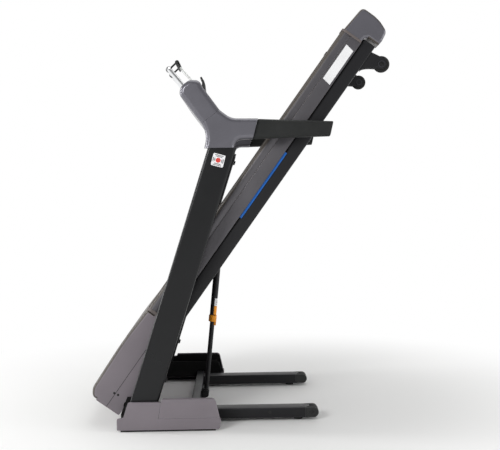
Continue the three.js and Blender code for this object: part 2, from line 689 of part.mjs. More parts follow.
// A plate that stands on the side tube between two places and holds one end of a roller.
function rollerBracket(side, x, baseFront, baseRear) {
  const top = ROLLER.z + 16;
  const plate = outline([
    [baseFront, FRAME.top - 1], [baseRear, FRAME.top - 1], [x + 16, ROLLER.z - 16, 8], [x + 16, top, 10],
    [x - 16, top, 10], [x - 16, ROLLER.z - 4, 8]]);
  return cut(slab(plate, side * 280, side * 286),
    rod(ROLLER.shaft + GAP, side * 270, side * 300, x, ROLLER.z, 24));
}

// The motor stands on a plate that spans the two side tubes.
function motorBody() {
  const { motorX, motorZ } = DRIVE;
  const can = turned([
    [0, 40], [30, 40], [34, 44], [46, 52], [46, 212], [34, 220], [16, 220], [16, 230], [0, 230]],
  motorX, motorZ, 32);
  const foot = box(motorX - 34, motorX + 34, 70, 190, 91, 100);
  const half = FRAME.inner - GAP;
  const plate = box(motorX - 85, motorX + 65, -half, half, 86, 92);
  return join(can, foot, plate);
}

function motorPulley() {
  const a = DRIVE.y - DRIVE.width / 2 - 1;
  const b = DRIVE.y + DRIVE.width / 2 + 1;
  return turned([
    [0, 230.5], [7, 230.5], [7, 236], [24, 236], [24, 246], [DRIVE.motorPulley, 246], [DRIVE.motorPulley, a],
    [DRIVE.motorPulley, b], [0, b]], DRIVE.motorX, DRIVE.motorZ, 28);
}

// ---------------------------------------------------------------- hood and end caps

const HOOD_SIDE = [
  [HOOD.front, HOOD.seam + GAP], [DECK.hoodRear, HOOD.seam + GAP], [DECK.hoodRear, 203], [-200, 211, 60],
  [-400, 204, 12], [HOOD.front + 1, 188, 12]];

function hoodUpper() {
  const shell = slab(outline(HOOD_SIDE), -DECK.outer, DECK.outer, 14, 5, 4);
  const low = slab(rectangle(HOOD.front + 0.01, DECK.hoodRear, HOOD.seam + GAP, 170), -DECK.outer, DECK.outer);
  const room = slab(outline([
    [HOOD.front + 3, 60], [0, 60], [0, 199.5], [-200, 207.5, 60], [-398, 200.5, 12], [HOOD.front + 4, 186, 12]]),
  -DECK.outer + HOOD.wall, DECK.outer - HOOD.wall, 12, 5, 3);
  const below = box(-500, 0, -400, 400, 0, HOOD.seam + GAP);
  const lowRoom = box(HOOD.front + 3, 0, -DECK.outer + HOOD.wall, DECK.outer - HOOD.wall, 0, 180);
  const behind = box(DECK.hoodRear, 0, -400, 400, 0, 300);
  return cut(join(shell, low), room, lowRoom, below, behind);
}

function hoodLower() {
  const { front, seam, bottom, wall } = HOOD;
  const pan = slab(outline([
    [front, bottom, 6], [DECK.hoodRear, bottom], [DECK.hoodRear, seam], [front, seam]]), -DECK.outer, DECK.outer);
  const room = box(front + wall, 0, -DECK.outer + wall, DECK.outer - wall, bottom + wall, 300);
  const lugGaps = SIDES.map(([, side]) => box(-430 + 26, -340, side * 296, side * 313.5, 0, 90));
  const earGaps = SIDES.map(([, side]) => rod(HINGE.ear + 3.5, side * 312, side * 340, HINGE.x, HINGE.z, 24));
  const inletHole = box(front - 5, front + 10, INLET.y0 - 0.5, INLET.y1 + 0.5, INLET.z0 - 0.5, INLET.z1 + 0.5);
  return cut(pan, room, ...lugGaps, ...earGaps, inletHole);
}

// Mains inlet in the hood's front wall: a three-pin socket beside the pocket of the main switch.
const INLET = { y0: -150, y1: -90, z0: 95, z1: 122, depth: 26 };
const SWITCH = { y: -104, z: 108.5, width: 16, height: 18, pivot: 5 };

function powerInlet() {
  const { y0, y1, z0, z1, depth } = INLET;
  const { front } = HOOD;
  const flange = box(front - 2.5, front - GAP, y0 - 5, y1 + 5, z0 - 4, z1 + 4);
  const body = box(front - 1, front + depth, y0, y1, z0, z1);
  const socket = box(front - 5, front + 17, y0 + 5, y0 + 29, z0 + 5, z1 - 5);
  const pocket = box(front - 5, front + 14, SWITCH.y - SWITCH.width / 2 - 1, SWITCH.y + SWITCH.width / 2 + 1,
    SWITCH.z - SWITCH.height / 2 - 1, SWITCH.z + SWITCH.height / 2 + 1);
  const pins = [-7, 0, 7].map((offset) => {
    const y = y0 + 17 + offset;
    const z = SWITCH.z + (offset === 0 ? 2 : -2);
    return box(front + 9, front + 18, y - 1, y + 1, z - 2.5, z + 2.5);
  });
  return join(cut(join(flange, body), socket, pocket), ...pins);
}

function powerSwitch() {
  const { y, z, width, height, pivot } = SWITCH;
  const x = HOOD.front + pivot;
  const half = height / 2;
  const cap = outline([
    [x, z - half], [x, z + half], [x - 8.5, z + half, 2], [x - 6.5, z], [x - 8.5, z - half, 2]]);
  return slab(cap, y - width / 2, y + width / 2);
}

function endCap(side) {
  const { front, inner, outer, wall, round } = END_CAP;
  const corners = [
    [front, 127.4], [1103, 126.4], [1112, 117], [1112, 74], [1130, 72], [1165, 77, 14], [1180, 112, 14],
    [DECK.rear, 141, 12], [DECK.rear, 191, 16], [front, 201]];
  const shell = roundedSlab(corners, [9], side * inner, side * outer, round, 5);
  const room = slab(
    outline(inset(corners, wall)), side * (inner - 40), side * (outer - wall), round - wall, 5, 3);
  const mouth = box(front - 5, front + 10, side * (inner - 20), side * (outer - wall), 131, 196.5);
  const bracketSlot = box(front - 5, 1113, side * 278.5, side * 287.5, 115, 132);
  return cut(shell, room, mouth, bracketSlot);
}

// ---------------------------------------------------------------- rear wheels

function wheelFork(side) {
  const { x, z, inner, outer } = REAR_WHEEL;
  const fin = outline([
    [x - 62, FRAME.bottom + 1], [x - 40, 62, 20], [x - 22, z + 4, 12], [x - 14, z - 15, 12], [x + 15, z - 15, 13],
    [x + 19, z + 10, 10], [x + 12, FRAME.bottom + 1]]);
  const outside = slab(fin, side * (outer + 0.6), side * (outer + 4.6), 0, 6);
  const inside = slab(fin, side * (inner - 4.6), side * (inner - 0.6), 0, 6);
  const top = box(x - 60, x + 12, side * (inner - 4.6), side * (outer + 4.6), 74, FRAME.bottom + 1);
  const stud = axle(side, REAR_WHEEL.axle, inner - 4, outer + 4.6, x, z);
  return join(outside, inside, top, stud);
}

function rearWheel(side) {
  const { x, z, r, inner, outer, axle: axleRadius } = REAR_WHEEL;
  const wheel = turned([
    [axleRadius + GAP, inner], [17, inner], [18, inner + 2], [r - 5, inner + 2], [r, inner + 6], [r, outer - 6],
    [r - 5, outer - 2], [18, outer - 2], [17, outer], [axleRadius + GAP, outer], [axleRadius + GAP, inner]],
  x, z, 36);
  return side > 0 ? wheel : wheel.rotateZ(Math.PI).translate(2 * x, 0, 0);
}

function addDeck() {
  addToDeck('deck_cross_middle', 'black_steel', join(deckCross(112, 142, 106), strutLugs()));
  addToDeck('deck_cross_rear', 'black_steel', deckCross(960, 990, 86));
  addToDeck('running_board', 'board',
    box(BOARD.front, BOARD.rear, -BOARD.halfWidth, BOARD.halfWidth, BOARD.bottom, BOARD.top));
  addToDeck('running_belt', 'belt', runningBelt());
  addToDeck('front_roller', 'zinc', runningRoller(ROLLER.front, true));
  addToDeck('rear_roller', 'zinc', runningRoller(ROLLER.rear, false));
  addToDeck('drive_belt', 'rubber', driveBelt());
  addToDeck('motor', 'black_steel', motorBody());
  addToDeck('motor_pulley', 'zinc', motorPulley());
  addToDeck('hood_upper', 'grey_shell', hoodUpper());
  addToDeck('hood_lower', 'grey_shell', hoodLower());
  addToDeck('power_inlet', 'black_plastic', powerInlet());
  addToDeck('power_switch', 'red', powerSwitch());
  for (const [label, side] of SIDES) {
    addToDeck(`deck_side_${label}`, 'black_steel', deckSide(side));
    addToDeck(`side_rail_${label}`, 'rail_grey', sideRail(side));
    addToDeck(`end_cap_${label}`, 'metallic_shell', endCap(side));
    addToDeck(`rear_wheel_${label}`, 'rubber', rearWheel(side));
  }
}

// ---------------------------------------------------------------- strut

// Upper eye of the strut with the deck folded up.
const STRUT_HIGH = new THREE.Vector2(STRUT.highX - HINGE.x, STRUT.highZ - HINGE.z)
  .rotateAround(new THREE.Vector2(), FOLD_ANGLE)
  .add(new THREE.Vector2(HINGE.x, HINGE.z));
const STRUT_LENGTH = Math.hypot(STRUT_HIGH.x - STRUT.lowX, STRUT_HIGH.y - STRUT.lowZ);

// Strut pieces are drawn upright on their lower eye, then lean to meet the upper one.
function placeStrut(geometry) {
  const lean = Math.atan2(STRUT_HIGH.x - STRUT.lowX, STRUT_HIGH.y - STRUT.lowZ);
  return geometry.rotateY(lean).translate(STRUT.lowX, 0, STRUT.lowZ);
}

function strutRod() {
  const eye = rod(12, -11, 11, 0, 0, 24);
  const shaft = post(STRUT.rod, 4, STRUT_ROD_LENGTH, 0, 0);
  return cut(join(shaft, eye), rod(5 + GAP, -20, 20, 0, 0, 20));
}

function strutTube() {
  const length = STRUT_LENGTH - STRUT_TUBE_START;
  const tube = post(STRUT.tube, 0, length - 6, 0, 0);
  const eye = rod(11, -11, 11, 0, length, 24);
  const bore = post(STRUT.bore, -5, length - STRUT.plug, 0, 0);
  const whole = cut(join(tube, eye), bore, rod(5 + GAP, -20, 20, 0, length, 20));
  return whole.translate(0, 0, STRUT_TUBE_START);
}

function lockCollar() {
  const ring = cut(post(STRUT.tube + 2.5, 0, 24, 0, 0), post(STRUT.tube + GAP, -5, 18, 0, 0),
    post(STRUT.bore, -5, 30, 0, 0));
  const tab = box(4, STRUT.tube + 2, -6, 6, -14, 0.5);
  const whole = cut(join(ring, tab), post(STRUT.bore, -30, 5, 0, 0));
  return whole.translate(0, 0, STRUT_TUBE_START - 24.5);
}

function strutFoot() {
  const front = REAR_CROSS.rear - 1;
  const lug = outline([
    [front, 14], [STRUT.lowX + 10, 20, 10], [STRUT.lowX + 12, 52, 12], [STRUT.lowX - 8, 52, 8], [front, 42]]);
  return join(slab(lug, -17.5, -12.5), slab(lug, 12.5, 17.5), strutBolt(),
    box(front, REAR_CROSS.rear + 3, -17.5, 17.5, 14, 42));
}

function strutBolt() {
  const head = rod(9, 17, 23, STRUT.lowX, STRUT.lowZ, 6);
  const nut = rod(9, -23, -17, STRUT.lowX, STRUT.lowZ, 6);
  return join(rod(5, -20, 20, STRUT.lowX, STRUT.lowZ, 20), head, nut);
}

function addStrut() {
  add(treadmill, 'strut_rod', 'black_steel', placeStrut(strutRod()));
  add(treadmill, 'strut_tube', 'black_steel', placeStrut(strutTube()));
  add(treadmill, 'lock_collar', 'orange', placeStrut(lockCollar()));
}

// Shifts the machine so that the middle of its outline along X is the origin.
function centreOnOutline(group) {
  group.updateMatrixWorld(true);
  const outlineBox = new THREE.Box3().setFromObject(group, true);
  group.position.x = -(outlineBox.min.x + outlineBox.max.x) / 2;
}

addBase();
addUprightsAndArms();
addConsole();
addDeck();
addStrut();
centreOnOutline(treadmill);

export default treadmill;
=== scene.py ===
"""Looks of a folding treadmill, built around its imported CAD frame. Metres, in the CAD's own frame."""

import json
import math

import bmesh
import bpy
from mathutils import Matrix, Vector


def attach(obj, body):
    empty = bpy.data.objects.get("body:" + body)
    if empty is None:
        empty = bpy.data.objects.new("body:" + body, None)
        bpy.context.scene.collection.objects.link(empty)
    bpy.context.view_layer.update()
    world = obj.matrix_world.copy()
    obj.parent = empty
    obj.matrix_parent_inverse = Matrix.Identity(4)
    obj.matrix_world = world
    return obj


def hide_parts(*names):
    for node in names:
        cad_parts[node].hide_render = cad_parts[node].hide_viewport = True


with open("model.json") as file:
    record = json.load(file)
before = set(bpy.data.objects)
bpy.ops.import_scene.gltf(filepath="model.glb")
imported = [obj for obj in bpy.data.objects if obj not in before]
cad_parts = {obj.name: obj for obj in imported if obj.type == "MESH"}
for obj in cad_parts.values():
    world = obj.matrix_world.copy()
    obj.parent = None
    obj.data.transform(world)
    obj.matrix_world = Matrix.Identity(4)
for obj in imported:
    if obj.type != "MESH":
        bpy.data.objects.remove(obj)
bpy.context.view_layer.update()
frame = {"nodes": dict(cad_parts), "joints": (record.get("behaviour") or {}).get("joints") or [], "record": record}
NODES = frame["nodes"]
JOINTS = {joint["name"]: joint for joint in frame["joints"]}
BODY_OF = {
    node: body
    for body, members in frame["record"]["behaviour"]["bodies"].items()
    for node in members
}
SIDES = (("left", -1), ("right", 1))

# ---------------------------------------------------------------- places

# Machine coordinates put the fold hinge at HINGE_HOME, and deck ones are those of the flat deck.
HINGE_HOME = Vector((-0.380, 0, 0.068))
HINGE = Vector(JOINTS["deck_fold"]["pos_m"])
FOLD = math.radians(JOINTS["deck_fold"]["range_deg"][1])
MACHINE = Matrix.Translation(HINGE - HINGE_HOME)
DECK = Matrix.Translation(HINGE) @ Matrix.Rotation(-FOLD, 4, "Y") @ Matrix.Translation(-HINGE_HOME)
CONSOLE_HOME = (-0.104, 0, 1.1395)
CONSOLE_TILT = math.radians(54.1)
CONSOLE = MACHINE @ Matrix.Translation(CONSOLE_HOME) @ Matrix.Rotation(CONSOLE_TILT, 4, "Y")

# Outer faces that carry labels, stripes and screws
RAIL_OUTER = 0.322
RAIL_INNER = 0.245
RAIL_TOP = 0.202
TUBE_OUTER = 0.312
UPRIGHT_OUTER = 0.395
UPRIGHT_SLOPE = 0.3245
UPRIGHT_LEAN = math.atan(UPRIGHT_SLOPE)

# ---------------------------------------------------------------- camera, light and floor


# Solved from the photograph's edges, in machine coordinates
CAMERA_PLACE = (0, -3.423, 0.834)
LENS_MM = 65.8
SENSOR_MM = 36


def make_camera():
    data = bpy.data.cameras.new("camera")
    data.sensor_width = SENSOR_MM
    data.lens = LENS_MM
    camera = bpy.data.objects.new("camera", data)
    turn = Matrix((
        (0.99978114, 0.01500767, -0.01457504),
        (-0.01529697, 0.04916882, -0.99867334),
        (-0.01427113, 0.99867772, 0.04938763),
    ))
    camera.matrix_world = MACHINE @ Matrix.Translation(CAMERA_PLACE) @ turn.to_4x4()
    bpy.context.scene.collection.objects.link(camera)
    bpy.context.scene.camera = camera


def area_light(name, place, target, size, power):
    data = bpy.data.lights.new(name, "AREA")
    data.shape = "RECTANGLE"
    data.size, data.size_y = size
    data.energy = power
    light = bpy.data.objects.new(name, data)
    aim = (Vector(target) - Vector(place)).to_track_quat("-Z", "Y")
    light.matrix_world = Matrix.Translation(place) @ aim.to_matrix().to_4x4()
    bpy.context.scene.collection.objects.link(light)


def ramp_node(nodes, start, end, low, high, smooth=False):
    """Maps a value from start..end onto low..high."""
    ramp = nodes.new("ShaderNodeMapRange")
    if smooth:
        ramp.interpolation_type = "SMOOTHSTEP"
    for name, number in (("From Min", start), ("From Max", end), ("To Min", low), ("To Max", high)):
        ramp.inputs[name].default_value = number
    return ramp


def make_world():
    """A bright backdrop side and a dimmer room side, and plain white where the lens sees past the floor."""
    world = bpy.data.worlds.new("studio")
    bpy.context.scene.world = world
    world.use_nodes = True
    nodes, links = world.node_tree.nodes, world.node_tree.links
    background = nodes["Background"]
    coordinates = nodes.new("ShaderNodeTexCoord")
    split = nodes.new("ShaderNodeSeparateXYZ")
    ramp = ramp_node(nodes, -0.35, 0.45, 0.40, 0.95, smooth=True)
    overhead = ramp_node(nodes, 0.20, 0.75, 1.0, 0.45)
    seen = nodes.new("ShaderNodeLightPath")
    brightest = nodes.new("ShaderNodeMath")
    brightest.operation = "MAXIMUM"
    links.new(coordinates.outputs["Generated"], split.inputs[0])
    links.new(split.outputs["Y"], ramp.inputs["Value"])
    dimmed = nodes.new("ShaderNodeMath")
    dimmed.operation = "MULTIPLY"
    links.new(split.outputs["Z"], overhead.inputs["Value"])
    links.new(ramp.outputs["Result"], dimmed.inputs[0])
    links.new(overhead.outputs["Result"], dimmed.inputs[1])
    links.new(dimmed.outputs[0], brightest.inputs[0])
    links.new(seen.outputs["Is Camera Ray"], brightest.inputs[1])
    links.new(brightest.outputs[0], background.inputs["Strength"])
    background.inputs["Color"].default_value = (1, 1, 1, 1)


def make_floor():
    """A pale floor that fades to plain white away from the machine."""
    mesh = bpy.data.meshes.new("floor")
    reach = 14.0
    corners = [(reach * x, reach * y, 0) for x, y in ((-1, -1), (1, -1), (1, 1), (-1, 1))]
    mesh.from_pydata(corners, [], [(0, 1, 2, 3)])
    floor = bpy.data.objects.new("floor", mesh)
    bpy.context.scene.collection.objects.link(floor)
    material = bpy.data.materials.new("floor_paper")
    material.use_nodes = True
    nodes, links = material.node_tree.nodes, material.node_tree.links
    shader = nodes["Principled BSDF"]
    shader.inputs["Base Color"].default_value = (0.93, 0.93, 0.92, 1)
    shader.inputs["Roughness"].default_value = 0.6
    shader.inputs["Specular IOR Level"].default_value = 0.2
    glow = nodes.new("ShaderNodeEmission")
    glow.inputs["Strength"].default_value = 1.0
    mix = nodes.new("ShaderNodeMixShader")
    coordinates = nodes.new("ShaderNodeTexCoord")
    length = nodes.new("ShaderNodeVectorMath")
    length.operation = "LENGTH"
    fade = ramp_node(nodes, 0.6, 1.6, 0.0, 1.0, smooth=True)
    links.new(coordinates.outputs["Object"], length.inputs[0])
    links.new(length.outputs["Value"], fade.inputs["Value"])
    links.new(fade.outputs["Result"], mix.inputs["Fac"])
    links.new(shader.outputs[0], mix.inputs[1])
    links.new(glow.outputs[0], mix.inputs[2])
    links.new(mix.outputs[0], nodes["Material Output"].inputs["Surface"])
    mesh.materials.append(material)


make_camera()
make_world()
make_floor()
area_light("key_light", (-2.4, -3.6, 2.4), (-0.05, 0, 0.7), (1.4, 1.4), 92)
area_light("top_light", (0.4, 0.3, 3.4), (0, 0, 0.5), (2.6, 2.6), 34)
area_light("rim_light", (-3.2, 0.1, 1.4), (-0.3, 0, 1.0), (0.5, 2.4), 52)
area_light("side_light", (3.0, -1.2, 1.2), (0.2, 0, 0.8), (0.8, 1.8), 22)
bpy.context.scene.view_settings.view_transform = "Standard"

# ---------------------------------------------------------------- materials


def srgb(red, green, blue):
    """Screen values from 0 to 255 as a linear colour."""
    def linear(value):
        share = value / 255
        return share / 12.92 if share <= 0.04045 else ((share + 0.055) / 1.055) ** 2.4
    return (linear(red), linear(green), linear(blue), 1)


def surface(name, colour, roughness, metallic=0.0, **sockets):
    material = bpy.data.materials.new(name)
    material.use_nodes = True
    shader = material.node_tree.nodes["Principled BSDF"]
    shader.inputs["Base Color"].default_value = colour
    shader.inputs["Roughness"].default_value = roughness
    shader.inputs["Metallic"].default_value = metallic
    for socket, value in sockets.items():
        shader.inputs[socket.replace("_", " ")].default_value = value
    return material


def texture(material, kind, scale, stretch=(1, 1, 1), **settings):
    """A texture node in the piece's own coordinates."""
    nodes, links = material.node_tree.nodes, material.node_tree.links
    coordinates = nodes.new("ShaderNodeTexCoord")
    mapping = nodes.new("ShaderNodeMapping")
    mapping.inputs["Scale"].default_value = stretch
    node = nodes.new(kind)
    node.inputs["Scale"].default_value = scale
    for name, value in settings.items():
        node.inputs[name].default_value = value
    links.new(coordinates.outputs["Object"], mapping.inputs["Vector"])
    links.new(mapping.outputs["Vector"], node.inputs["Vector"])
    return node


def spread(material, value, low, high, start=0.3, end=0.7):
    """Maps a texture's value onto a range."""
    ramp = ramp_node(material.node_tree.nodes, start, end, low, high)
    material.node_tree.links.new(value, ramp.inputs["Value"])
    return ramp.outputs["Result"]


def tint(material, tone):
    """Scales the base colour's brightness by a texture's value."""
    nodes, links = material.node_tree.nodes, material.node_tree.links
    base = nodes["Principled BSDF"].inputs["Base Color"]
    colour = nodes.new("ShaderNodeHueSaturation")
    colour.inputs["Color"].default_value = base.default_value
    links.new(tone, colour.inputs["Value"])
    links.new(colour.outputs["Color"], base)


def vary_colour(material, share, scale=9.0):
    """Lightens and darkens the base colour a little in soft patches."""
    patches = texture(material, "ShaderNodeTexNoise", scale, Detail=3.0)
    tint(material, spread(material, patches.outputs["Fac"], 1 - share, 1 + share))


def vary_roughness(material, low, high, scale=14.0):
    nodes, links = material.node_tree.nodes, material.node_tree.links
    smears = texture(material, "ShaderNodeTexNoise", scale, Detail=4.0, Roughness=0.6)
    amount = spread(material, smears.outputs["Fac"], low, high)
    links.new(amount, nodes["Principled BSDF"].inputs["Roughness"])


def add_bump(material, height, strength, distance):
    nodes, links = material.node_tree.nodes, material.node_tree.links
    bump = nodes.new("ShaderNodeBump")
    bump.inputs["Strength"].default_value = strength
    bump.inputs["Distance"].default_value = distance
    links.new(height, bump.inputs["Height"])
    links.new(bump.outputs["Normal"], nodes["Principled BSDF"].inputs["Normal"])


def moulded_plastic(name, colour, roughness=0.5, grain=900.0, strength=0.12):
    material = surface(name, colour, roughness)
    vary_colour(material, 0.05)
    vary_roughness(material, roughness - 0.06, roughness + 0.08)
    pores = texture(material, "ShaderNodeTexNoise", grain, Detail=2.0)
    add_bump(material, pores.outputs["Fac"], strength, 0.0004)
    return material


def powder_coat(name, colour, roughness=0.42, gloss=0.4):
    material = surface(name, colour, roughness, Specular_IOR_Level=gloss)
    vary_colour(material, 0.06, 12.0)
    vary_roughness(material, roughness - 0.03, roughness + 0.05)
    peel = texture(material, "ShaderNodeTexNoise", 420.0, Detail=1.0)
    add_bump(material, peel.outputs["Fac"], 0.10, 0.0004)
    return material


def metallic_paint(name, colour, roughness=0.34):
    material = surface(name, colour, roughness, 0.55, Coat_Weight=0.35, Coat_Roughness=0.22)
    vary_colour(material, 0.04)
    flakes = texture(material, "ShaderNodeTexVoronoi", 2600.0)
    add_bump(material, flakes.outputs["Distance"], 0.02, 0.0001)
    vary_roughness(material, roughness - 0.04, roughness + 0.06)
    return material


def brushed_metal(name, colour, roughness):
    material = surface(name, colour, roughness, 1.0)
    scratches = texture(material, "ShaderNodeTexNoise", 160.0, (1, 1, 40), Detail=6.0, Roughness=0.7)
    add_bump(material, scratches.outputs["Fac"], 0.05, 0.0002)
    vary_roughness(material, roughness - 0.04, roughness + 0.08, 30.0)
    return material


def rubber(name, colour, roughness=0.8):
    material = surface(name, colour, roughness)
    vary_colour(material, 0.12, 20.0)
    grit = texture(material, "ShaderNodeTexNoise", 1100.0, Detail=3.0)
    add_bump(material, grit.outputs["Fac"], 0.25, 0.0005)
    vary_roughness(material, roughness - 0.08, roughness + 0.08)
    return material


def belt_fabric(name, colour):
    """Running belt: rows of small diamonds pressed into dull rubber."""
    material = surface(name, colour, 0.78)
    vary_colour(material, 0.10, 16.0)
    diamonds = texture(material, "ShaderNodeTexVoronoi", 260.0, Randomness=0.0)
    diamonds.distance = "MANHATTAN"
    add_bump(material, diamonds.outputs["Distance"], 0.5, 0.0008)
    return material


def wood_board(name):
    material = surface(name, srgb(120, 92, 64), 0.7)
    grain = texture(material, "ShaderNodeTexNoise", 26.0, (0.4, 3, 8), Detail=6.0)
    tint(material, spread(material, grain.outputs["Fac"], 0.75, 1.2))
    add_bump(material, grain.outputs["Fac"], 0.2, 0.0005)
    return material


def clear_plastic(name):
    material = surface(name, (0.93, 0.95, 0.93, 1), 0.08, IOR=1.49, Transmission_Weight=0.92)
    vary_roughness(material, 0.05, 0.16, 20.0)
    return material


MATERIALS = {
    "black_steel": powder_coat("black_powder_coat", srgb(22, 22, 25), 0.42, 0.34),
    "upright_steel": powder_coat("upright_powder_coat", srgb(13, 14, 16), 0.30, 0.36),
    "fork_steel": powder_coat("fork_powder_coat", srgb(38, 38, 43), 0.45),
    # Near-black, darker than the steel's own coat: painted shade for the inside of the foot covers
    "inner_black": powder_coat("painted_shade_black_coat", srgb(8, 8, 8), 0.55, 0.2),
    # Lighter copies of the black coat and the grey moulding: painted highlights for bevelled edges
    "edge_highlight_black": powder_coat("painted_highlight_black_coat", srgb(66, 64, 68), 0.36),
    "edge_highlight_grey": moulded_plastic("painted_highlight_grey_moulding", srgb(150, 144, 150), 0.40),
    "chrome": brushed_metal("polished_chrome", (0.86, 0.87, 0.88, 1), 0.09),
    "zinc": brushed_metal("zinc_plate", (0.45, 0.45, 0.44, 1), 0.34),
    "grey_shell": moulded_plastic("grey_moulding", srgb(122, 115, 121), 0.46),
    "metallic_shell": metallic_paint("metallic_grey_paint", srgb(104, 103, 110)),
    "rail_grey": metallic_paint("rail_grey_paint", srgb(90, 88, 92), 0.40),
    "collar": moulded_plastic("brown_grey_moulding", srgb(96, 88, 86), 0.55),
    # Darker brown-grey for top faces and rims: painted shade
    "shaded_top": moulded_plastic("painted_shade_top_moulding", srgb(74, 68, 63), 0.42),
    "step_tread": moulded_plastic("ribbed_tread", srgb(88, 81, 74), 0.62),
    "black_plastic": moulded_plastic("black_moulding", srgb(27, 28, 28), 0.5),
    "grip": rubber("grip_foam", srgb(19, 21, 20), 0.74),
    "rubber": rubber("black_rubber", srgb(18, 18, 18)),
    "segment": moulded_plastic("display_segment", srgb(150, 196, 188), 0.4, 500.0, 0.02),
    "symbol": moulded_plastic("symbol_ink", srgb(198, 199, 200), 0.45, 500.0, 0.02),
    "belt": belt_fabric("belt_rubber", srgb(38, 38, 39)),
    "board": wood_board("deck_board"),
    "orange": moulded_plastic("orange_moulding", srgb(250, 160, 8), 0.42),
    "blue": moulded_plastic("blue_strip", srgb(0, 98, 188), 0.36),
    "red": moulded_plastic("red_moulding", srgb(186, 34, 26), 0.35),
    "green": moulded_plastic("green_moulding", srgb(40, 142, 70), 0.35),
    "clear": clear_plastic("clear_sheet"),
    "display": surface(
        "display_glass", srgb(12, 14, 18), 0.08, Coat_Weight=0.6, Coat_Roughness=0.04),
    "label": moulded_plastic("label_film", srgb(238, 238, 239), 0.4, 500.0, 0.04),
    "label_red": moulded_plastic("label_ink", srgb(214, 60, 50), 0.4, 500.0, 0.04),
    "label_grey": moulded_plastic("label_grey_ink", srgb(112, 112, 114), 0.4, 500.0, 0.04),
    "dark": moulded_plastic("dark_fastener", srgb(15, 15, 16), 0.4),
}

# ---------------------------------------------------------------- mesh helpers


def place_mesh(name, bm, material, body, smooth=38.0):
    """Turns a bmesh into a smooth-shaded piece that rides on a body."""
    bmesh.ops.recalc_face_normals(bm, faces=bm.faces)
    mesh = bpy.data.meshes.new(name)
    bm.to_mesh(mesh)
    bm.free()
    mesh.polygons.foreach_set("use_smooth", [True] * len(mesh.polygons))
    mesh.set_sharp_from_angle(angle=math.radians(smooth))
    mesh.materials.append(MATERIALS[material])
    piece = bpy.data.objects.new(name, mesh)
    bpy.context.scene.collection.objects.link(piece)
    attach(piece, body)
    return piece


# Finishes whose bevelled edges carry a painted highlight, and the lighter copy of the finish painted there
EDGE_HIGHLIGHTS = {
    "black_steel": "edge_highlight_black",
    "upright_steel": "edge_highlight_black",
    "grey_shell": "edge_highlight_grey",
}


def add_bevel(piece, width, angle=32.0):
    bevel = piece.modifiers.new("edge", "BEVEL")
    bevel.width = width
    bevel.segments = 2
    bevel.limit_method = "ANGLE"
    bevel.angle_limit = math.radians(angle)
    bevel.harden_normals = True
    bevel.miter_outer = "MITER_ARC"
    return bevel


def refined(node, material, bevel):
    """The CAD node's own shape with merged faces.

    Its edges are rounded, or on the shells that are round already (bevel 0), its shading is evened. On black steel
    and grey shells the rounded edges carry a painted highlight.
    """
    bm = bmesh.new()
    bm.from_mesh(NODES[node].data)
    bmesh.ops.remove_doubles(bm, verts=bm.verts, dist=2e-5)
    bmesh.ops.dissolve_limit(bm, angle_limit=math.radians(0.4), verts=bm.verts, edges=bm.edges)
    piece = place_mesh(f"{node}_piece", bm, material, BODY_OF[node])
    if bevel > 0:
        rounding = add_bevel(piece, bevel)
        # The bevel faces take the lighter copy of the finish: a painted highlight along the edges
        if material in EDGE_HIGHLIGHTS:
            piece.data.materials.append(MATERIALS[EDGE_HIGHLIGHTS[material]])
            rounding.material = 1
    else:
        shading = piece.modifiers.new("even_shading", "WEIGHTED_NORMAL")
        shading.keep_sharp = True
        shading.weight = 100
    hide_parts(node)
    return piece


def paint_top_shade(piece, material, turn, most, least):
    """Paints a darker brown-grey shade onto a shell's top and end faces and their rounded rims, picked by face
    normal: painted shade.

    A face is painted if its normal leans across the machine less than most, and up more than least.
    """
    mesh = piece.data
    mesh.materials.append(MATERIALS[material])
    for face in mesh.polygons:
        across = abs(face.normal.y)
        height = (turn @ face.normal).z
        if across < most and height > least:
            face.material_index = 1


def join_loops(bm, near, far):
    """Adds the band of faces between two closed loops of vertices."""
    for i in range(len(near)):
        j = (i + 1) % len(near)
        bm.faces.new((near[i], near[j], far[j], far[i]))


def plate(bm, corners, thickness, matrix):
    """Adds a plate whose outline is given in its local X and Y, and which rises along its local Z."""
    low = [bm.verts.new(matrix @ Vector((x, y, 0))) for x, y in corners]
    high = [bm.verts.new(matrix @ Vector((x, y, thickness))) for x, y in corners]
    bm.faces.new(low[::-1])
    bm.faces.new(high)
    join_loops(bm, low, high)


def rounded(width, height, radius, steps=5):
    """Corners of a rounded rectangle about the origin."""
    points = []
    for corner, (sx, sy) in enumerate(((1, 1), (-1, 1), (-1, -1), (1, -1))):
        centre = Vector((sx * (width / 2 - radius), sy * (height / 2 - radius)))
        for step in range(steps + 1):
            angle = math.radians(90 * (corner + step / steps))
            points.append(centre + radius * Vector((math.cos(angle), math.sin(angle))))
    return points


def lathe(bm, profile, matrix, steps=48):
    """Adds a body turned about the local Z axis from (radius, height) points.

    It is closed only where the profile ends on the axis. Open rings stand on a face that hides the opening.
    """
    rings = []
    for radius, height in profile:
        if radius <= 0:
            rings.append([bm.verts.new(matrix @ Vector((0, 0, height)))])
            continue
        angles = [2 * math.pi * i / steps for i in range(steps)]
        points = [Vector((radius * math.cos(a), radius * math.sin(a), height)) for a in angles]
        rings.append([bm.verts.new(matrix @ point) for point in points])
    for near, far in zip(rings, rings[1:]):
        for i in range(steps):
            j = (i + 1) % steps
            if len(near) == 1:
                bm.faces.new((near[0], far[j], far[i]))
            elif len(far) == 1:
                bm.faces.new((near[i], near[j], far[0]))
            else:
                bm.faces.new((near[i], near[j], far[j], far[i]))


def facing(side):
    """Local X along the machine, local Z out of its side face: the place of flat things on a side."""
    return Matrix.Rotation(math.radians(-90 * side), 4, "X")


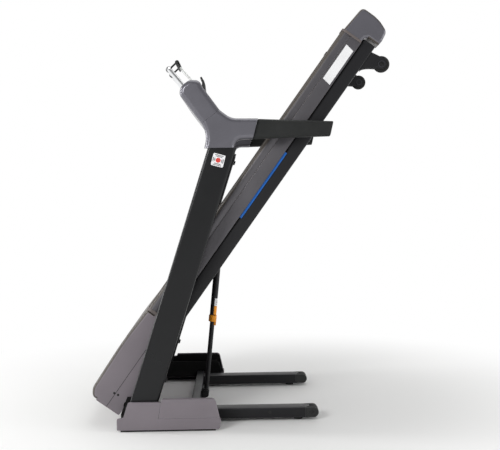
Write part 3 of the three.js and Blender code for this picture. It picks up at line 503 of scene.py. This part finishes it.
def side_plate(name, corners, side, frame_matrix, outer, thickness, material, body):
    """A plate on an outer side face. Its corners are (x, z) in the given frame."""
    bm = bmesh.new()
    flip = -side
    matrix = frame_matrix @ Matrix.Translation((0, side * outer, 0)) @ facing(side)
    plate(bm, [(x, flip * z) for x, z in corners], thickness, matrix)
    return place_mesh(name, bm, material, body)


# ---------------------------------------------------------------- pieces from the CAD

PLAIN_PIECES = {
    "front_cross_tube": ("black_steel", "black_steel", 0.0006),
    "rear_cross_tube": ("black_steel", "black_steel", 0.0006),
    "leg_tube": ("black_steel", "black_steel", 0.0006),
    "leg_end": ("black_plastic", "black_plastic", 0.0008),
    "leg_foot": ("rubber", "rubber", 0.0015),
    # Black steel, drawn darker as painted shade inside the foot covers
    "side_channel": ("inner_black", "black_steel", 0.0006),
    "foot_pad": ("rubber", "rubber", 0.001),
    "foot_cover": ("grey_shell", "grey_shell", 0.0012),
    "foot_cover_lid": ("grey_shell", "grey_shell", 0.0012),
    "upright": ("upright_steel", "black_steel", 0.0008),
    "arm_shell": ("metallic_shell", "metallic_shell", 0),
    "handle_grip": ("grip", "rubber", 0.002),
    "console_housing": ("metallic_shell", "metallic_shell", 0),
    "console_face": ("black_plastic", "black_plastic", 0.0006),
    "display_window": ("display", "display", 0.0006),
    "start_button": ("green", "green", 0.0008),
    "stop_button": ("red", "red", 0.0008),
    "speed_rocker": ("black_plastic", "black_plastic", 0.0006),
    "safety_key": ("red", "red", 0.0012),
    "tablet_ledge": ("black_plastic", "black_plastic", 0.0008),
    "tablet_backrest": ("clear", "clear", 0.0008),
    "tablet_clamp_frame": ("chrome", "chrome", 0.0008),
    "tablet_clamp_yoke": ("black_plastic", "black_plastic", 0.0006),
    "tablet_clamp_roller": ("rubber", "rubber", 0.0006),
    "deck_cross_middle": ("black_steel", "black_steel", 0.0006),
    "deck_cross_rear": ("black_steel", "black_steel", 0.0006),
    "deck_side": ("black_steel", "black_steel", 0.0006),
    "side_rail": ("rail_grey", "rail_grey", 0.0004),
    "end_cap": ("metallic_shell", "metallic_shell", 0),
    "running_board": ("board", "board", 0.0008),
    "running_belt": ("belt", "belt", 0.0004),
    "front_roller": ("zinc", "zinc", 0.0008),
    "rear_roller": ("zinc", "zinc", 0.0008),
    "drive_belt": ("rubber", "rubber", 0.0004),
    "motor": ("black_steel", "black_steel", 0.001),
    "motor_pulley": ("zinc", "zinc", 0.0006),
    "hood_upper": ("grey_shell", "grey_shell", 0),
    "hood_lower": ("grey_shell", "grey_shell", 0.0012),
    "power_inlet": ("black_plastic", "black_plastic", 0.0006),
    "power_switch": ("red", "red", 0.0006),
    "strut_rod": ("black_steel", "black_steel", 0.0006),
    "strut_tube": ("black_steel", "black_steel", 0.0006),
    "lock_collar": ("orange", "orange", 0.0008),
    "rear_wheel": ("rubber", "rubber", 0.0006),
    "transport_wheel": ("rubber", "rubber", 0.0006),
}


def node_kind(node):
    for side, _ in SIDES:
        if node.endswith(f"_{side}"):
            return node[: -len(side) - 1]
    return node


PIECES = {}
for node in sorted(NODES):
    material_name, slot_name, edge = PLAIN_PIECES[node_kind(node)]
    PIECES[node] = refined(node, material_name, edge)

DECK_TURN = DECK.to_3x3().inverted()
# Painted shade: the tops and rims of the hood, end caps and rails are darkened to brown-grey
paint_top_shade(PIECES["hood_upper"], "shaded_top", DECK_TURN, 0.97, -0.35)
for end, _ in SIDES:
    paint_top_shade(PIECES[f"end_cap_{end}"], "shaded_top", DECK_TURN, 0.95, -0.35)
    paint_top_shade(PIECES[f"side_rail_{end}"], "shaded_top", DECK_TURN, 0.97, 0.15)

# ---------------------------------------------------------------- added details


# Deck rails, in deck coordinates: the corner arc of the rail's outline and the two ends of the rail
RAIL_ROUND = 0.015
RAIL_FRONT = -0.068
RAIL_REAR = 1.0855
RIB_PITCH = 0.006


def rail_curve(offset, steps=6):
    """Points (y, z) over a right-hand rail from its outer foot to its inner edge, a little way off it."""
    centre = Vector((RAIL_OUTER - RAIL_ROUND, RAIL_TOP - RAIL_ROUND))
    points = [Vector((RAIL_OUTER + offset, 0.128))]
    for step in range(steps + 1):
        angle = math.radians(90 * step / steps)
        reach = RAIL_ROUND + offset
        points.append(centre + reach * Vector((math.cos(angle), math.sin(angle))))
    points.append(Vector((RAIL_INNER, RAIL_TOP + offset)))
    return points


def rail_collar(name, side, start, length, proud, material):
    """A band that runs up a rail's side and over its top."""
    outer, inner = rail_curve(proud), rail_curve(0.0)
    bm = bmesh.new()
    loops = []
    for x in (start, start + length):
        section = [*outer, *reversed(inner)]
        loops.append([bm.verts.new(DECK @ Vector((x, side * y, z))) for y, z in section])
    bm.faces.new(loops[0])
    bm.faces.new(loops[1][::-1])
    join_loops(bm, *loops)
    piece = place_mesh(name, bm, material, "deck")
    add_bevel(piece, 0.0006, 50)


def ribbed_strip(name, side):
    """Foot strip on a rail's top, with a rib every few millimetres across it."""
    y_inner, y_outer = 0.250, 0.306
    low, high = 0.0010, 0.0022
    profile = [(RAIL_FRONT + 0.008, 0.0)]
    count = round((RAIL_REAR - RAIL_FRONT - 0.012) / RIB_PITCH)
    for i in range(count):
        x = RAIL_FRONT + 0.008 + i * RIB_PITCH
        profile += [(x, low), (x + 0.0012, high), (x + 0.0034, high), (x + 0.0046, low)]
    profile.append((profile[-1][0], 0.0))
    bm = bmesh.new()
    rows = [
        [bm.verts.new(DECK @ Vector((x, side * y, RAIL_TOP + z))) for x, z in profile]
        for y in (y_inner, y_outer)]
    join_loops(bm, *rows)
    bm.faces.new(rows[0][::-1])
    bm.faces.new(rows[1])
    place_mesh(name, bm, "step_tread", "deck", 20)


def screw(name, matrix, radius, body):
    """Domed screw head with a cross recess, standing on the matrix's XY plane."""
    bm = bmesh.new()
    dome = [(0, 0.42), (0.45, 0.40), (0.78, 0.30), (0.96, 0.12), (1.0, 0.0)]
    lathe(bm, [(radius * r, radius * h) for r, h in dome] + [(0, 0)], matrix, 32)
    place_mesh(name, bm, "dark", body)
    cross = bmesh.new()
    lift = Matrix.Translation((0, 0, radius * 0.36))
    for turn in (0, 90):
        plate(cross, rounded(radius * 1.0, radius * 0.24, radius * 0.1, 3), radius * 0.075,
              matrix @ Matrix.Rotation(math.radians(turn), 4, "Z") @ lift)
    place_mesh(f"{name}_recess", cross, "dark", body)


def hex_bolt(name, matrix, radius, height, body):
    """Hexagon head with a turned-down crown, on a round washer."""
    bm = bmesh.new()
    washer = [(0, 0.0012), (radius * 1.3, 0.0012), (radius * 1.38, 0.0009), (radius * 1.38, 0), (0, 0)]
    lathe(bm, washer, matrix, 40)
    crown = [(0, height), (radius * 0.86, height), (radius, height * 0.82), (radius, 0.0008), (0, 0.0008)]
    lathe(bm, crown, matrix, 6)
    place_mesh(name, bm, "black_steel", body, 20)


def at_deck_side(side, x, z, outer):
    return DECK @ Matrix.Translation((x, side * outer, z)) @ facing(side)


def deck_details():
    for label, side in SIDES:
        stripe = [(0.367, 0.1178), (0.637, 0.1178), (0.637, 0.1256), (0.367, 0.1256)]
        side_plate(
            f"accent_stripe_{label}", stripe, side, DECK, TUBE_OUTER + 0.0002, 0.0030, "blue", "deck")
        blank = [(0.908, 0.1325), (1.046, 0.1325), (1.051, 0.1640), (0.913, 0.1640)]
        side_plate(
            f"blank_plate_{label}", blank, side, DECK, RAIL_OUTER, 0.0004, "label", "deck")
        rail_collar(f"front_collar_{label}", side, RAIL_FRONT - 0.004, 0.011, 0.0022, "collar")
        rail_collar(f"rear_collar_{label}", side, RAIL_REAR - 0.004, 0.008, 0.0042, "collar")
        ribbed_strip(f"step_strip_{label}", side)
        for number, (x, z) in enumerate(((-0.372, 0.132), (-0.370, 0.118)), 1):
            place = at_deck_side(side, x, z, RAIL_OUTER - 0.0003)
            screw(f"hood_screw_{number}_{label}", place, 0.0042, "deck")
        gasket = [(-0.4262, 0.1272), (-0.0695, 0.1272), (-0.0695, 0.1290), (-0.4262, 0.1290)]
        side_plate(
            f"hood_gasket_{label}", gasket, side, DECK, RAIL_OUTER - 0.0010, 0.0011, "dark", "deck")


# Rear wheel axle in deck coordinates, and the outer faces of its fork's two cheeks
REAR_AXLE_X = 1.070
REAR_AXLE_Z = 0.028
FORK_OUTER = 0.3056
FORK_INNER = 0.2744


def wheel_details():
    for label, side in SIDES:
        for place, outer, way in (("outer", FORK_OUTER, side), ("inner", FORK_INNER, -side)):
            matrix = DECK @ Matrix.Translation((REAR_AXLE_X, side * outer, REAR_AXLE_Z)) @ facing(way)
            bm = bmesh.new()
            ring = [(0.0080, 0.0), (0.0080, 0.0009), (0.0105, 0.0014), (0.0122, 0.0009), (0.0126, 0.0)]
            lathe(bm, ring, matrix, 48)
            place_mesh(f"wheel_washer_{place}_{label}", bm, "fork_steel", "deck")
        cap = at_deck_side(side, REAR_AXLE_X, REAR_AXLE_Z, FORK_OUTER + 0.0025)
        bm = bmesh.new()
        socket = [(0.0066, 0.0), (0.0062, 0.0016), (0.0040, 0.0020), (0.0034, 0.0004), (0.0, 0.0004)]
        lathe(bm, socket, cap, 36)
        place_mesh(f"wheel_bolt_cap_{label}", bm, "dark", "deck")


# Uprights lean towards the rear; their rear face is this far back at the floor.
UPRIGHT_REAR = -0.3022


def base_details():
    for label, side in SIDES:
        for number, z in enumerate((0.165, 0.905), 1):
            x = UPRIGHT_REAR + UPRIGHT_SLOPE * z
            matrix = MACHINE @ Matrix.Translation((x, side * 0.371, z)) @ Matrix.Rotation(
                math.radians(90) + UPRIGHT_LEAN, 4, "Y")
            hex_bolt(f"upright_bolt_{number}_{label}", matrix, 0.0085, 0.0065, "base")
        for part, x, outer, radius in (("end", 0.236, 0.2975, 0.0034), ("wheel", 0.257, 0.3005, 0.0052)):
            matrix = MACHINE @ Matrix.Translation((x, side * outer, 0.0273)) @ facing(side)
            screw(f"leg_{part}_screw_{label}", matrix, radius, "base")


def leg_details():
    """A plug in each leg's side hole, and two thin dark plates on the top of each leg end, painted shade standing
    for slots.
    """
    for label, side in SIDES:
        matrix = MACHINE @ Matrix.Translation((0.105, side * 0.2980, 0.030)) @ facing(side)
        bm = bmesh.new()
        lathe(bm, [(0, 0.0002), (0.0036, 0.0002), (0.0048, 0.0008), (0.0054, 0.0), (0, 0.0)], matrix, 32)
        place_mesh(f"leg_plug_{label}", bm, "dark", "base")
        bm = bmesh.new()
        # Dark plates where the slots are: painted shade for their hollows
        for x, length, top in ((0.216, 0.008, 0.0450), (0.237, 0.013, 0.0447)):
            slot = MACHINE @ Matrix.Translation((x, side * 0.268, top))
            plate(bm, rounded(length, 0.024, 0.0035), 0.0006, slot)
        place_mesh(f"leg_slot_shades_{label}", bm, "dark", "base")


def upright_label():
    """A blank sticker with a dot and a few bars, near the top of the left upright."""
    top = Vector((-0.073, 0.926))
    along = (Vector((-0.033, 0.915)) - top).normalized()
    across = Vector((-along.y, along.x))
    centre = Vector((-0.058, 0.900))
    matrix = MACHINE @ Matrix(
        ((along.x, across.x, 0, centre.x), (0, 0, -1, -UPRIGHT_OUTER), (along.y, across.y, 0, centre.y),
         (0, 0, 0, 1)))
    bm = bmesh.new()
    plate(bm, rounded(0.041, 0.041, 0.004), 0.0003, matrix)
    place_mesh("sticker", bm, "label", "base")
    bm = bmesh.new()
    lathe(bm, [(0, 0.0009), (0.0078, 0.0009), (0.0082, 0.0002), (0, 0.0002)], matrix, 40)
    place_mesh("sticker_dot", bm, "label_red", "base")
    bm = bmesh.new()
    for sign in (-1, 1):
        for row, width in enumerate((0.029, 0.022)):
            shift = Matrix.Translation((0, sign * (0.0165 - 0.0045 * row), 0.0002))
            plate(bm, rounded(width, 0.0024, 0.0011, 3), 0.0006, matrix @ shift)
        for column in (0, 1):
            shift = Matrix.Translation((sign * (0.0165 - 0.0045 * column), 0, 0.0002))
            plate(bm, rounded(0.0024, 0.015 - 0.004 * column, 0.0011, 3), 0.0006, matrix @ shift)
    place_mesh("sticker_bars", bm, "label_grey", "base")


# ---------------------------------------------------------------- strut labels

STRUT_FOOT = Vector(JOINTS["strut_swing"]["pos_m"])
STRUT_AXIS = Vector(JOINTS["strut_slide"]["axis"]).normalized()
STRUT_LEAN = math.atan2(STRUT_AXIS.x, STRUT_AXIS.z)
STRUT_PLACE = Matrix.Translation(STRUT_FOOT) @ Matrix.Rotation(STRUT_LEAN, 4, "Y")
STRUT_TUBE_START = 0.290
STRUT_TUBE_RADIUS = 0.0122


def wrapped_label(name, low, high, start, end, material):
    """A thin label bent round the strut's tube, from one angle to another about its axis."""
    steps = 20
    inner, outer = STRUT_TUBE_RADIUS - 0.0001, STRUT_TUBE_RADIUS + 0.0003
    bm = bmesh.new()
    rings = []
    for step in range(steps + 1):
        angle = math.radians(start + (end - start) * step / steps)
        section = ((inner, low), (outer, low), (outer, high), (inner, high))
        rings.append([
            bm.verts.new(STRUT_PLACE @ Vector((r * math.cos(angle), r * math.sin(angle), z)))
            for r, z in section])
    for near, far in zip(rings, rings[1:]):
        join_loops(bm, near, far)
    bm.faces.new(rings[0][::-1])
    bm.faces.new(rings[-1])
    place_mesh(name, bm, material, "strut_upper")


def strut_details():
    start = STRUT_TUBE_START
    wrapped_label("strut_label_orange", start + 0.002, start + 0.034, -80, 70, "orange")
    wrapped_label("strut_label_white", start + 0.035, start + 0.064, -80, 70, "label")
    bars = [(0.041, 0.0435), (0.047, 0.0495), (0.053, 0.0555)]
    for number, (low, high) in enumerate(bars, 1):
        piece_name = f"strut_label_bar_{number}"
        wrapped_label(piece_name, start + low, start + high, -55, 40, "label_grey")


# ---------------------------------------------------------------- console face

# Segments of a seven-segment digit: centre across, centre along, lies across the digit
SEGMENTS = ((0, 1, True), (0, 0, True), (0, -1, True), (-1, 0.5, False), (1, 0.5, False), (-1, -0.5, False),
            (1, -0.5, False))


def on_console(x, y, z):
    """The place x down, y across and z out of the face. Local X runs across it, Y up it and Z out of it."""
    return CONSOLE @ Matrix.Translation((x, y, z)) @ Matrix.Rotation(math.radians(90), 4, "Z")


def digit(bm, matrix, height):
    width = height * 0.5
    thick = height * 0.11
    for across, along, level in SEGMENTS:
        place = Matrix.Translation((across * width / 2, along * height / 2, 0))
        turn = Matrix.Rotation(0 if level else math.radians(90), 4, "Z")
        length = (width if level else height / 2) * 0.82
        plate(bm, rounded(length, thick, thick * 0.45, 2), 0.0002, matrix @ place @ turn)


# Heights out of the face, then places down (X) and across (Y) it
FACE_SURFACE = -0.001
WINDOW_TOP = 0.0012
BUTTON_TOP = 0.0025
INK = 0.0001
DISPLAY_X = 0.029
BUTTON_X = 0.062
BUTTON_Y = 0.120
SPEED_SIGN_X = 0.057


def display_details():
    """Three groups of three digits, and the bezel round the window."""
    bm = bmesh.new()
    for group in (-0.066, 0.0, 0.066):
        for place in (-0.013, 0.0, 0.013):
            digit(bm, on_console(DISPLAY_X, group + place, WINDOW_TOP), 0.015)
    place_mesh("display_digits", bm, "segment", "base")
    bm = bmesh.new()
    outer, inner = rounded(0.212, 0.046, 0.006), rounded(0.201, 0.035, 0.003)
    matrix = on_console(DISPLAY_X, 0, FACE_SURFACE)
    rows = [
        [bm.verts.new(matrix @ Vector((x, y, height))) for x, y in corners]
        for corners, height in ((outer, 0.0), (outer, 0.0022), (inner, 0.0030), (inner, 0.0))]
    for near, far in zip(rows, [*rows[1:], rows[0]]):
        join_loops(bm, near, far)
    place_mesh("display_bezel", bm, "metallic_shell", "base")


def button_symbols():
    """A triangle on start, a square on stop, and a minus and a plus beside the speed rocker."""
    bm = bmesh.new()
    triangle = [(-0.004, -0.005), (0.006, 0), (-0.004, 0.005)]
    plate(bm, triangle, INK, on_console(BUTTON_X, -BUTTON_Y, BUTTON_TOP))
    place_mesh("start_symbol", bm, "symbol", "start_button_body")
    bm = bmesh.new()
    plate(bm, rounded(0.009, 0.009, 0.001, 2), INK, on_console(BUTTON_X, BUTTON_Y, BUTTON_TOP))
    place_mesh("stop_symbol", bm, "symbol", "stop_button_body")
    bm = bmesh.new()
    long, short = 0.008, 0.0018
    for y, width, height in ((0.136, long, short), (0.184, long, short), (0.184, short, long)):
        plate(bm, rounded(width, height, 0.0008, 2), INK, on_console(SPEED_SIGN_X, y, FACE_SURFACE))
    place_mesh("speed_symbols", bm, "symbol", "base")


def speaker_grille():
    """A block of small rims at each end of the face."""
    bm = bmesh.new()
    rim = [(0, -0.0004), (0.0016, 0.0), (0.0020, 0.0003), (0.0024, 0.0)]
    for _, side in SIDES:
        for row in range(6):
            for column in range(9):
                x = 0.018 + 0.009 * row
                y = side * (0.225 + 0.007 * column)
                lathe(bm, rim, on_console(x, y, FACE_SURFACE), 12)
    place_mesh("speaker_grille", bm, "dark", "base")


deck_details()
wheel_details()
base_details()
leg_details()
upright_label()
strut_details()
display_details()
button_symbols()
speaker_grille()
